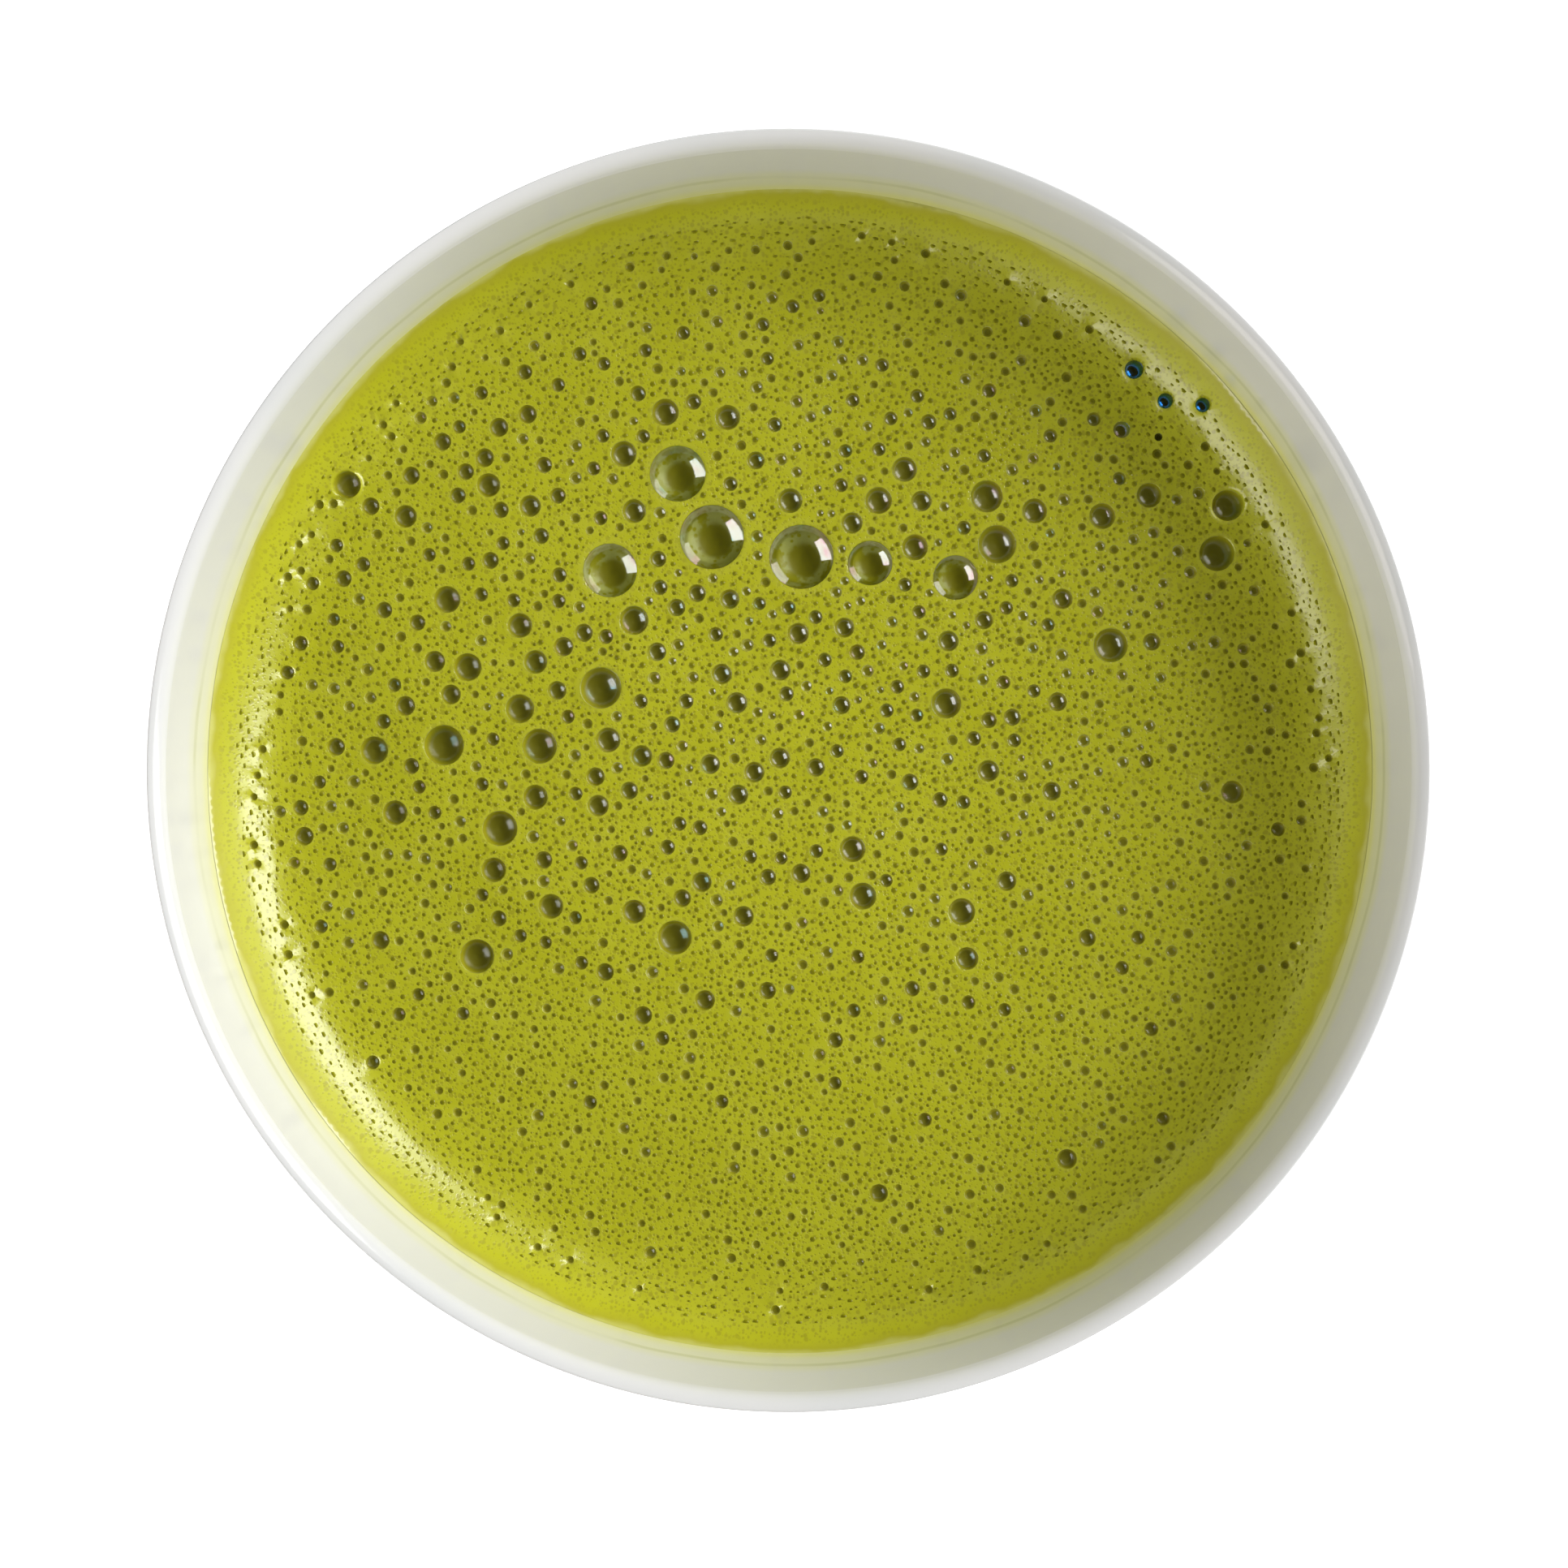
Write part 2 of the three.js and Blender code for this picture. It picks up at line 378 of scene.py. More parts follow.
GLAZE_WHITE = (0.87, 0.87, 0.855)
GLAZE_COOL = (0.83, 0.84, 0.83)
# grey of the painted shade inside the bowl
INSIDE_SHADE_GREY = (0.735, 0.735, 0.71)
TEA_TINT = (0.79, 0.79, 0.32)
FRINGE = (0.82, 0.81, 0.30)
TIDE_GREEN = (0.44, 0.46, 0.10)
FROTH_COLOUR = (0.55, 0.555, 0.007)
FROTH_PALE = (0.58, 0.587, 0.012)
FROTH_EDGE = (0.50, 0.475, 0.022)
FROTH_HALO = (0.62, 0.62, 0.04)
FROTH_CREAM = (0.64, 0.63, 0.14)
DARK_OLIVE = (0.37, 0.34, 0.012)
# bottom of the pockets: wet foam darkened further by painted shade
PIT_WET_AND_SHADE = (0.235, 0.215, 0.010)
OLIVE = (0.42, 0.40, 0.013)
GREY_GREEN = (0.58, 0.60, 0.17)
BEAD_DARK = (0.16, 0.15, 0.008)
BEAD_LIGHT = (0.24, 0.23, 0.010)
TEA_DARK = (0.075, 0.085, 0.008)
TEA_LIGHT = (0.13, 0.14, 0.012)
CLAY_LIGHT = (0.70, 0.64, 0.54)
CLAY_BROWN = (0.58, 0.50, 0.40)
CLAY_DARK_SPOT = (0.34, 0.28, 0.22)
PAPER_DULL = (0.86, 0.86, 0.86)
PAPER_BRIGHT = (0.88, 0.88, 0.88)
FILM_CLEAR = (0.985, 0.99, 0.96)
FILM_BLUE = (0.03, 0.30, 1.0)
# The tints of a film's reflections: place on the scale of the noise that spreads them, and colour.
RAINBOW = [(0.32, (0.5, 0.92, 1.0)), (0.42, (0.95, 1, 1)),
           (0.58, (1, 0.98, 0.97)), (0.68, (1.0, 0.68, 0.85))]

WATER_IOR = 1.34
BLUE_SPOT = (36.5, 36.2, FROTH_LEVEL)  # in mm: the films around here are tinged blue
FRESH_SPOT = (10, 16, FROTH_LEVEL)     # and those around here mirror most


def glaze_material():
    """Glossy white glaze, with the stain that the tea leaves on the wall above the froth, and painted shade
    that greys the inside below the lip's top.
    """
    n = Nodes("white_glaze")
    split = n.add("ShaderNodeSeparateXYZ", Vector=n.place())
    height = split.outputs["Z"]
    sway = n.math("MULTIPLY", n.math("SUBTRACT", n.noise(60, 2), 0.5), 1.8 * MM)
    level = n.math("ADD", height, sway)
    inside = n.attribute("inside")
    tide = TIDE_HEIGHT * MM
    film = n.span(level, tide + 0.4 * MM, tide + 2.4 * MM, 0.3, 0.0)
    wash = n.span(level, (CONTACT_HEIGHT + 0.1) * MM, (CONTACT_HEIGHT + 1.3) * MM, 0.70, 0.40)
    below = n.math("MULTIPLY", n.span(level, tide - 0.3 * MM, tide, 1.0, 0.0), wash)
    # The stain and the fringe are made stronger towards +X.
    side = n.span(split.outputs["X"], -FROTH_RADIUS * MM, FROTH_RADIUS * MM, 0.75, 1.3)
    stain = n.math("MULTIPLY", n.math("MULTIPLY", n.math("MAXIMUM", film, below), side, clamp=True), inside)
    line = n.math("MULTIPLY", n.span(level, tide - 0.5 * MM, tide - 0.1 * MM),
                  n.span(level, tide + 0.1 * MM, tide + 0.6 * MM, 1.0, 0.0))
    broken = n.span(n.noise(90, 2), 0.3, 0.6, 0.08, 0.32)
    line = n.math("MULTIPLY", n.math("MULTIPLY", line, broken), inside)
    base = n.blend(n.span(n.noise(45, 4), 0.4, 0.7), GLAZE_WHITE, GLAZE_COOL)
    # Painted shade: the inside is greyed up to the lip, fading out to the lip's white top.
    inside_shade = n.math("MULTIPLY", n.span(height, (HEIGHT - LIP_TURN - 0.3) * MM, HEIGHT * MM, 0.8, 0.0), inside)
    colour = n.blend(inside_shade, base, INSIDE_SHADE_GREY)
    colour = n.blend(stain, colour, TEA_TINT)
    fringe = n.span(level, (CONTACT_HEIGHT - 0.5) * MM, (CONTACT_HEIGHT + 2.2) * MM, 0.6, 0.0)
    colour = n.blend(n.math("MULTIPLY", n.math("MULTIPLY", fringe, side), inside), colour, FRINGE)
    colour = n.blend(line, colour, TIDE_GREEN)
    skin = n.bump(n.noise(260, 2), 0.02)
    skin = n.bump(n.noise(1400, 2), 0.004, normal=skin)
    shader = n.add("ShaderNodeBsdfPrincipled", Base_Color=colour, Normal=skin, IOR=1.5)
    n.set(shader, "Roughness", n.span(n.noise(150, 3), 0.3, 0.7, 0.13, 0.2))
    return n.finish(shader.outputs[0])


def clay_material():
    """Bare fired clay under the foot: warm, dry, finely rough, with small darker spots."""
    n = Nodes("bare_clay")
    grain = n.noise(1800, 4, 0.7)
    colour = n.blend(n.span(n.noise(300, 4), 0.35, 0.65), CLAY_LIGHT, CLAY_BROWN)
    # Small spots painted darker, without any depth of their own.
    pits = n.span(n.cells(900).outputs["Distance"], 0.05, 0.16, 0.5, 0.0)
    colour = n.blend(pits, colour, CLAY_DARK_SPOT)
    shader = n.add("ShaderNodeBsdfPrincipled", Base_Color=colour, Normal=n.bump(grain, 0.05),
                   Roughness=0.85)
    return n.finish(shader.outputs[0])


def froth_material():
    """Fine wet foam: pinholes of two sizes, darker in its pockets and of other tints at its edge. The
    darkness of the pinholes and pockets is partly the wet foam's and tea's own colour, partly painted
    shade.
    """
    n = Nodes("froth")
    split = n.add("ShaderNodeSeparateXYZ", Vector=n.place())
    flat = n.add("ShaderNodeCombineXYZ", X=split.outputs["X"], Y=split.outputs["Y"]).outputs[0]
    length = n.add("ShaderNodeVectorMath")
    length.operation = "LENGTH"
    n.set(length, "0", flat)
    sway = n.math("MULTIPLY", n.math("SUBTRACT", n.noise(300, 2), 0.5), 1.2 * MM)
    radius = n.math("ADD", length.outputs["Value"], sway)
    colour = n.blend(n.span(n.noise(110, 3), 0.35, 0.68), FROTH_COLOUR, FROTH_PALE)
    holes = None
    for scale, small, large in ((2300, 0.16, 0.38), (1200, 0.14, 0.33)):
        cell = n.cells(scale, flat)
        chance = n.add("ShaderNodeSeparateColor", Color=cell.outputs["Color"])
        reach = n.span(chance.outputs[0], 0.2, 1.0, small, large)
        edge = n.math("SUBTRACT", reach, cell.outputs["Distance"])
        dot = n.span(edge, -0.04, 0.16)
        holes = dot if holes is None else n.math("MAXIMUM", holes, dot)
    edge_band = n.span(radius, (FROTH_RADIUS - 1.6) * MM, (FROTH_RADIUS - 0.1) * MM)
    holes = n.math("MULTIPLY", holes, n.math("SUBTRACT", 1.0, edge_band))
    wet = n.attribute("wet")
    dry = n.span(wet, 0.0, 0.15, 1.0, 0.0)
    # The tiny pinholes are painted dark: partly the tea seen through them, partly painted shade.
    colour = n.blend(n.math("MULTIPLY", holes, 0.62), colour, DARK_OLIVE)
    colour = n.blend(n.math("MULTIPLY", n.attribute("halo"), 0.5), colour, FROTH_HALO)
    colour = n.blend(edge_band, colour, FROTH_EDGE)
    colour = n.blend(n.span(radius, (FROTH_RADIUS - 0.6) * MM, FROTH_RADIUS * MM), colour, FROTH_CREAM)
    specks = n.span(n.cells(1500).outputs["Distance"], 0.2, 0.42, 1.0, 0.0)
    milky = n.blend(specks, GREY_GREEN, OLIVE)
    milky = n.blend(n.span(n.noise(700, 3), 0.45, 0.6), milky, OLIVE)
    # Partly painted shade: deeper in a pocket the walls turn from pale grey-green to dark olive, and
    # darkest at the bottom; the rest is the wet foam's own colour.
    pocket_tone_and_shade = n.blend(n.span(wet, 0.45, 0.7), milky, DARK_OLIVE)
    colour = n.blend(n.span(wet, 0.0, 0.3), colour, pocket_tone_and_shade)
    colour = n.blend(n.span(wet, 1.0, 1.3), colour, PIT_WET_AND_SHADE)
    calm = n.span(radius, (FROTH_RADIUS - 9) * MM, (FROTH_RADIUS - 5) * MM, 1.0, 0.4)
    skin = n.bump(n.math("MULTIPLY", n.noise(900, 3, 0.6), calm), 0.014)
    pits = n.math("MULTIPLY", n.math("MULTIPLY", holes, dry), calm)
    skin = n.bump(n.math("SUBTRACT", 1.0, pits), 0.022, normal=skin)
    shader = n.add("ShaderNodeBsdfPrincipled", Base_Color=colour, Normal=skin, IOR=WATER_IOR,
                   Coat_IOR=1.75)
    n.set(shader, "Specular IOR Level", 0.25)
    n.set(shader, "Coat Weight", n.span(wet, 0.1, 0.5, 1.0, 0.2))
    n.set(shader, "Coat Roughness", 0.25)
    n.set(shader, "Coat Normal", skin)
    n.set(shader, "Roughness", n.span(wet, 0.0, 0.6, 0.55, 0.4))
    return n.finish(shader.outputs[0])


def pinhole_material():
    """The smallest bubbles: dark wet beads, of the froth's own colour at the rim. Their dark middle is
    partly the tea seen through them, partly painted shade.
    """
    n = Nodes("pinhole")
    dark = n.blend(n.span(n.noise(400, 2), 0.35, 0.65), BEAD_DARK, BEAD_LIGHT)
    colour = n.blend(n.attribute("wet"), FROTH_COLOUR, dark)
    shader = n.add("ShaderNodeBsdfPrincipled", Base_Color=colour, IOR=WATER_IOR,
                   Roughness=n.span(n.noise(700, 2), 0.3, 0.7, 0.08, 0.2))
    return n.finish(shader.outputs[0])


def film_material(name, roughness, least, most, broad):
    """A clear film of liquid that mirrors the lights, with a rainbow tinge in places.

    It mirrors least where it is seen straight on and most at its edge. A broad dome's middle
    mirrors a little too, as water does.
    """
    n = Nodes(name)
    clear = n.add("ShaderNodeBsdfTransparent", Color=(*FILM_CLEAR, 1))
    tinge = n.add("ShaderNodeValToRGB", Fac=n.noise(420, 2))
    ramp = tinge.color_ramp.elements
    for stop, (position, colour) in zip((ramp[0], ramp[1]), (RAINBOW[0], RAINBOW[-1])):
        stop.position = position
        stop.color = (*colour, 1)
    for position, colour in RAINBOW[1:-1]:
        ramp.new(position).color = (*colour, 1)
    blue = n.span(n.distance_from(BLUE_SPOT), 4.5 * MM, 6.5 * MM, 1.0, 0.0)
    tint = n.blend(blue, tinge.outputs["Color"], FILM_BLUE)
    gloss = n.add("ShaderNodeBsdfGlossy", Color=tint, Roughness=roughness)
    facing = n.add("ShaderNodeLayerWeight", Blend=0.35 if broad else 0.5)
    graze = facing.outputs["Fresnel"] if broad else n.math("POWER", facing.outputs["Facing"], 4.0)
    fresh = n.span(n.distance_from(FRESH_SPOT), 16 * MM, 46 * MM, 1.0, 0.3)
    amount = n.math("MULTIPLY", n.span(graze, 0.0, 1.0, least, most), fresh)
    amount = n.math("ADD", amount, n.math("MULTIPLY", blue, 0.3))
    mix = n.add("ShaderNodeMixShader", Fac=amount)
    n.tree.links.new(clear.outputs[0], mix.inputs[1])
    n.tree.links.new(gloss.outputs[0], mix.inputs[2])
    return n.finish(mix.outputs[0])


def tea_material():
    """The liquid under the froth: dark green, glossy, with slow clouds of powder."""
    n = Nodes("tea")
    colour = n.blend(n.span(n.noise(120, 4), 0.3, 0.7), TEA_DARK, TEA_LIGHT)
    shader = n.add("ShaderNodeBsdfPrincipled", Base_Color=colour, IOR=WATER_IOR, Roughness=0.08,
                   Normal=n.bump(n.noise(200, 2), 0.02))
    return n.finish(shader.outputs[0])


def floor_material():
    """White studio paper that glows all round, but hardly below the bowl, where its shadow shows."""
    n = Nodes("studio_paper")
    tone = n.blend(n.noise(30, 2), PAPER_DULL, PAPER_BRIGHT)
    from_middle = n.add("ShaderNodeVectorMath", Vector=n.place())
    from_middle.operation = "LENGTH"
    glow = n.span(from_middle.outputs["Value"], 0.55 * RIM_RADIUS * MM, 1.05 * RIM_RADIUS * MM,
                  0.12, 1.0)
    shader = n.add("ShaderNodeBsdfPrincipled", Base_Color=tone, Roughness=0.9)
    n.set(shader, "Emission Color", (1, 1, 1, 1))
    n.set(shader, "Emission Strength", glow)
    return n.finish(shader.outputs[0])


# ---------- the bowl ----------

def bowl_profile():
    """The bowl's section, and how many of its points come before the lip's inner side."""
    bead = BARE_HEIGHT + 0.35
    under = rounded([(0, FOOT_RECESS), (FOOT_INNER_RADIUS, FOOT_RECESS), (FOOT_INNER_RADIUS, bead)],
                    RECESS_FILLET)
    under += [(FOOT_INNER_RADIUS + GLAZE_BEAD, BARE_HEIGHT), (FOOT_RADIUS - GLAZE_BEAD, BARE_HEIGHT)]
    under += [(FOOT_RADIUS - 0.02, BARE_HEIGHT + 0.1), (FOOT_RADIUS, bead)]
    # Three steps at the low end of each wall make room for the roundings there.
    outside = outer_curve(90)[3:]
    inside = inner_curve(100)[:2:-1]
    under += rounded([(FOOT_RADIUS, bead + 0.1), (FOOT_RADIUS, FOOT_HEIGHT), outside[0]],
                     FOOT_FILLET)[1:-1]
    lip_outside = ellipse_turn(outside[-1], (LIP_TOP_RADIUS, HEIGHT), 8)
    lip_inside = lip_curve(20)[1:-1][::-1]
    pool_low = FLOOR_HEIGHT - POOL_DEPTH
    pool = rounded([inside[-1], (POOL_RADIUS, FLOOR_HEIGHT), (POOL_RADIUS - POOL_SLOPE, pool_low),
                    (0, pool_low)], POOL_FILLET)[1:]
    outer = under + outside + lip_outside
    return outer + lip_inside + inside + pool, len(outer)


def bowl_wobble(angle, radius, height):
    """The slight unevenness of a bowl thrown by hand, and faint turning lines outside."""
    slow = 0.048 * math.sin(2 * angle + 0.7) * min(1, height / HEIGHT) ** 2
    lines = 0
    if radius > float(wall_radius(height)) + 1.2 or height < FOOT_HEIGHT:
        lines = 0.035 * math.sin(height * 2.3 + 0.35 * angle) * math.sin(height * 0.41 + 1.0)
    return (slow + lines) * (1 if FOOT_HEIGHT < height < HEIGHT - 1.5 else 0.2)


def make_bowl(glaze, clay):
    """The glazed body and the bare ring that it stands on."""
    profile, outer_points = bowl_profile()
    body = turned("bowl_body", profile, BOWL_SEGMENTS, bowl_wobble, outer_points)
    body.data.materials.append(glaze)
    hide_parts("bowl")
    inner, outer = FOOT_INNER_RADIUS + RING_INSET, FOOT_RADIUS - RING_INSET
    top = BARE_HEIGHT + 0.05
    corners = [(inner, RING_START), (inner, 0), (outer, 0), (outer, top), (inner, top)]
    # Without the points of its rounding, the inner bottom corner becomes a chamfer.
    section = rounded(corners + corners[:2], RING_FILLET)[CORNER_STEPS + 1:-1]
    ring = turned("foot_bare_ring", section, BOWL_SEGMENTS)
    ring.data.materials.append(clay)
    return [body, ring]


# ---------- the bubbles' places and sizes ----------

# The large bubbles are those whose films stand in the frame.
LARGE = sorted(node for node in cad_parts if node.startswith("bubble_film_"))
# The middle ones, listed: x and y to the half millimetre, and the diameter, in mm.
MIDDLE = [
    (-42.5, 27.5, 2.6), (-37, 24.5, 2.2), (-29, 27.5, 2.3), (-25, 25.5, 2.1), (-16, 30.5, 2.5),
    (-12, 34.5, 2.6), (-6, 34, 2.4), (-15, 25, 2.3), (-15, 14.5, 2.8), (-33, 16.5, 2.6),
    (-26, 14, 2.4), (-24.5, 10.5, 2.3), (-31, 10, 2.7), (-26, 6, 2.8), (-17.5, 3, 2.4),
    (-40, 2, 2.7), (-24.5, -2.5, 2.4), (-38, -4, 2.4), (-28.5, -9.5, 2.4), (-23, -13, 2.4),
    (-15, -13.5, 2.3), (0, 26, 2.4), (8.5, 26, 2.6), (11, 29, 2.4), (12, 21.5, 2.5),
    (23.5, 25, 2.4), (30, 24.5, 2.5), (34.5, 26.5, 2.4), (42, 25.5, 3.0), (15, 6.5, 2.9),
    (6, -7.5, 2.5), (7, -12, 2.6), (16.5, -13.5, 2.6), (17, -18, 2.2), (42.5, -2, 2.2),
    (33, 38.5, 1.8), (36, 35.5, 1.5), (39.5, 35, 1.4),
]
# Chance bubbles: how many at most, smallest and largest diameter, where they gather (x, y), how
# widely in x and y, how likely they are far from there, and the room kept to others and the edge.
CROWDS = [
    (130, 1.35, 2.1, (-14, 12), (27, 20), 0.03, 0.5, 6.5),
    (380, 1.0, 1.4, (-12, 12), (40, 28), 0.06, 0.55, 6.0),
    (720, 0.66, 1.0, (-2, 10), (52, 38), 0.16, 0.3, 3.5),
    (7300, 0.36, 0.70, (6, -24), (62, 46), 0.5, 0.10, 2.4),
]
TRIES = 60                              # places tried for each chance bubble
CELL = 3.5                              # of the grid that finds a place's neighbours

BROAD_RADIUS = 2.0                      # above this, films are broad domes over round pockets
RINGED_RADIUS = 0.65                    # from this up, a raised ring surrounds the bubble
DOMED_RADIUS = 0.55                     # up to this, films away from DOMED_SPOT mostly lie flat
POCKET_RADIUS = 0.36                    # below this, bubbles are pinholes without a pocket
DOMED_SPOT = (8, 14)
DOMED_SPREAD = (24, 20)


class Bubble:
    """Place and radius in mm. The film's rise, the rim's points and their height are added later."""

    def __init__(self, x, y, diameter):
        self.x, self.y, self.radius = x, y, diameter / 2


def closeness(x, y, spot, spread):
    """1 at a spot and less with distance, more slowly the wider the spread in x and y."""
    return math.exp(-((x - spot[0]) / spread[0]) ** 2 - ((y - spot[1]) / spread[1]) ** 2)


def place_bubbles(rng):
    """All the bubbles, class by class from large to small. Chance ones keep clear of the others."""
    bubbles, grid = [], {}

    def free(x, y, radius, gap):
        column, row = int(x // CELL), int(y // CELL)
        for i in (column - 1, column, column + 1):
            for j in (row - 1, row, row + 1):
                for other in grid.get((i, j), ()):
                    if math.hypot(x - other.x, y - other.y) < radius + other.radius + gap:
                        return False
        return True

    def put(x, y, diameter):
        bubble = Bubble(x, y, diameter)
        bubbles.append(bubble)
        grid.setdefault((int(x // CELL), int(y // CELL)), []).append(bubble)

    for node in LARGE:
        low, high = low_mm(node), high_mm(node)
        put((low.x + high.x) / 2, (low.y + high.y) / 2, high.x - low.x + 2 * CAD_GAP)
    for x, y, diameter in MIDDLE:
        put(x, y, diameter)
    for count, small, large, spot, spread, least, gap, margin in CROWDS:
        sizes = sorted((small + (large - small) * rng.random() ** 1.2 for _ in range(count)), reverse=True)
        for diameter in sizes:
            for _ in range(TRIES):
                angle, far = rng.random() * TAU, math.sqrt(rng.random()) * (FROTH_RADIUS - margin)
                x, y = far * math.cos(angle), far * math.sin(angle)
                likely = least + (1 - least) * closeness(x, y, spot, spread)
                if rng.random() < likely and free(x, y, diameter / 2, gap):
                    put(x, y, diameter)
                    break
    return bubbles


def domed(bubble, rng):
    """How high a bubble's film stands over its radius."""
    if bubble.radius > BROAD_RADIUS:
        return rng.uniform(0.36, 0.40)
    if bubble.radius > DOMED_RADIUS:
        return rng.uniform(0.46, 0.60)
    if rng.random() < 0.02 + 0.85 * closeness(bubble.x, bubble.y, DOMED_SPOT, DOMED_SPREAD):
        return rng.uniform(0.40, 0.55)
    return rng.uniform(0.03, 0.12)


# ---------- the froth ----------

def relief(x, y):
    """Low swells in the froth, in mm."""
    broad = noise.noise(Vector((x / 11, y / 11, 3.1))) * 0.16
    fine = noise.noise(Vector((x / 4, y / 4, 7.7))) * 0.05
    from_edge = FROTH_RADIUS - math.hypot(x, y)
    return (broad + fine) * min(1, max(0, from_edge / 14))


def surface_height(x, y):
    return float(froth_height(math.hypot(x, y))) + relief(x, y)


def segments_of(bubble):
    return max(10, min(36, int(bubble.radius * 22)))


# A pocket's section below its rim: radius and depth over the bubble's radius, and how wet it looks. The
# wetter, deeper rings are darker, partly the wet foam's colour and partly painted shade.
POCKET_LARGE = [(0.985, 0.055, 0.25), (0.965, 0.19, 0.32), (0.9, 0.36, 0.38), (0.78, 0.52, 0.42),
                (0.62, 0.64, 0.46), (0.45, 0.73, 0.66), (0.24, 0.79, 0.84)]
POCKET_MIDDLE = [(0.98, 0.055, 0.45), (0.965, 0.2, 0.75), (0.88, 0.38, 1.1), (0.7, 0.54, 1.3),
                 (0.45, 0.64, 1.3), (0.2, 0.7, 1.25)]
POCKET_SMALL = [(0.95, 0.05, 0.3), (0.85, 0.22, 0.8), (0.5, 0.36, 1.3)]
POCKET_LEAN = 0.16                      # its circles move to the right and front as they narrow
# The raised ring round a bubble and where it ends: radius and rise over the bubble's radius, and
# how pale the froth is there.
RAISED_RINGS = [(1.09, 0.022, 1.0), (1.3, 0.0, 0.0)]
RIM_PALENESS = 0.6
# Circles of points inwards from the froth's edge, closer where it climbs, and then an even net.
INWARD = [0.12, 0.3, 0.55, 0.85, 1.2, 1.65, 2.2, 2.85, 3.6, 4.5, 5.5]
NET_SPACING = 1.0


def pocket_section(bubble):
    if bubble.radius > BROAD_RADIUS:
        return POCKET_LARGE
    if bubble.radius > RINGED_RADIUS:
        return POCKET_MIDDLE
    return POCKET_SMALL


def circle(x, y, radius, count, turn=0.0):
    return [(x + radius * math.cos(TAU * i / count + turn), y + radius * math.sin(TAU * i / count + turn))
            for i in range(count)]


def froth_plan(bubbles):
    """The froth's points from above, the edges to keep, and each point's bubble, lift and halo."""
    points = circle(0, 0, FROTH_RADIUS, RIM_POINTS)
    edges = [(i, (i + 1) % RIM_POINTS) for i in range(RIM_POINTS)]
    owner, lift, halo = [-1] * RIM_POINTS, [0.0] * RIM_POINTS, [0.0] * RIM_POINTS
    grid, rings = {}, []
    for number, bubble in enumerate(bubbles):
        count = segments_of(bubble)
        start = len(points)
        points += circle(bubble.x, bubble.y, bubble.radius, count)
        edges += [(start + i, start + (i + 1) % count) for i in range(count)]
        owner += [number] * count
        lift += [0.0] * count
        halo += [RIM_PALENESS] * count
        bubble.rim = list(range(start, start + count))
        if bubble.radius >= RINGED_RADIUS:
            for factor, rise, glow in RAISED_RINGS:
                ring = circle(bubble.x, bubble.y, bubble.radius * factor, count, 0.5 / count * TAU)
                rings += [(x, y, rise * bubble.radius, glow, bubble) for x, y in ring]
        # The net's points keep this far off the bubble and its rings.
        reach = bubble.radius * (1.42 if bubble.radius >= RINGED_RADIUS else 1.0) + 0.3
        for i in range(int((bubble.x - reach) // CELL), int((bubble.x + reach) // CELL) + 1):
            for j in range(int((bubble.y - reach) // CELL), int((bubble.y + reach) // CELL) + 1):
                grid.setdefault((i, j), []).append((bubble, reach))

    def clear(x, y, of=None):
        """Whether a point keeps off every bubble, or off every one but its own."""
        near = grid.get((int(x // CELL), int(y // CELL)), ())
        if of:
            return all(b is of or math.hypot(x - b.x, y - b.y) > b.radius + 0.07 for b, reach in near)
        return all(math.hypot(x - b.x, y - b.y) > reach for b, reach in near)

    rings = [ring for ring in rings if clear(ring[0], ring[1], ring[4])]
    points += [(ring[0], ring[1]) for ring in rings]
    owner += [-1] * len(rings)
    lift += [ring[2] for ring in rings]
    halo += [ring[3] for ring in rings]
    extra = []
    for k, step in enumerate(INWARD):
        extra += circle(0, 0, FROTH_RADIUS - step, RIM_POINTS, k * 0.5 / RIM_POINTS * TAU)
    columns = int(FROTH_RADIUS / NET_SPACING) + 2
    rows = columns + 8                  # they lie closer together than columns
    for row in range(-rows, rows + 1):
        for column in range(-columns, columns + 1):
            x, y = (column + row % 2 / 2) * NET_SPACING, row * NET_SPACING * math.sqrt(3) / 2
            if math.hypot(x, y) < FROTH_RADIUS - INWARD[-1] - 0.6:
                extra.append((x, y))
    extra = [p for p in extra if clear(*p)]
    points += extra
    owner += [-1] * len(extra)
    lift += [0.0] * len(extra)
    halo += [0.0] * len(extra)
    return points, edges, owner, lift, halo


